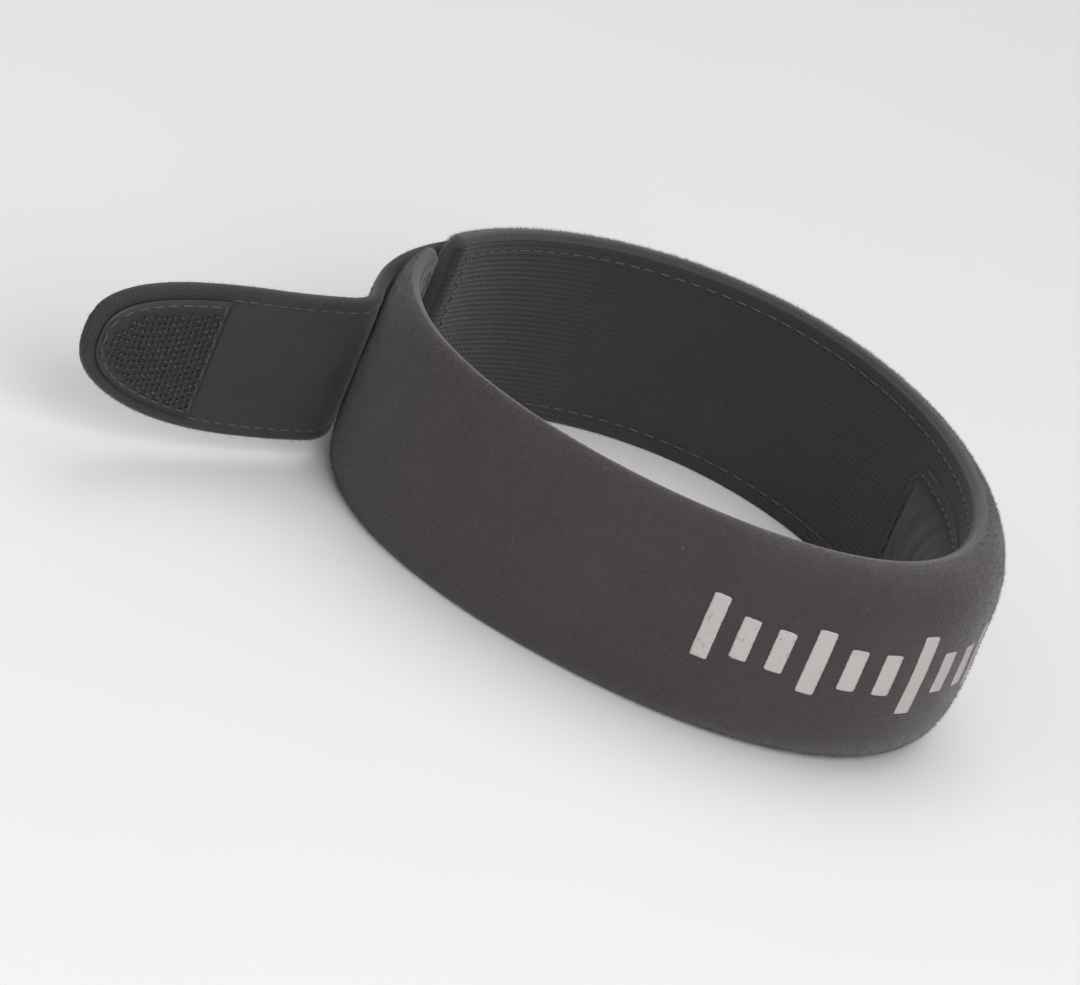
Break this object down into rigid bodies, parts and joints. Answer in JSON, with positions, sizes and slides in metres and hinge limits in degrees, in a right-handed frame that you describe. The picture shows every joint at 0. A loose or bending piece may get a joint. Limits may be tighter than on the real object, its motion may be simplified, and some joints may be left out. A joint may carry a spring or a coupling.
{
  "type": "patella strap",
  "caption": "Padded knee strap in its worn loop, with a tube over the tendon side and a hook-and-loop tab pulled out ready to fasten.",
  "frame": {"origin": "middle of the whole strap's outline seen from above, on the surface that its lower edge rests on", "axes": "+Z along the leg's axis and up from the resting edge, -Y towards the front of the knee (the tendon and the insert), -X the way the tab is pulled out"},
  "size_m": [0.1654, 0.1288, 0.038],
  "materials": {
    "band_fabric": "matt charcoal-black loop-pile fabric with a short nap",
    "insert_cover": "matt black stretch fabric over a soft tube",
    "tab_fabric": "matt charcoal-black fabric",
    "hook_tape": "black nylon hook tape"
  },
  "bodies": {
    "root": {"band": "band_fabric", "tubular_insert": "insert_cover", "closure_tab": "tab_fabric", "hook_patch": "hook_tape"}
  },
  "joints": []
}
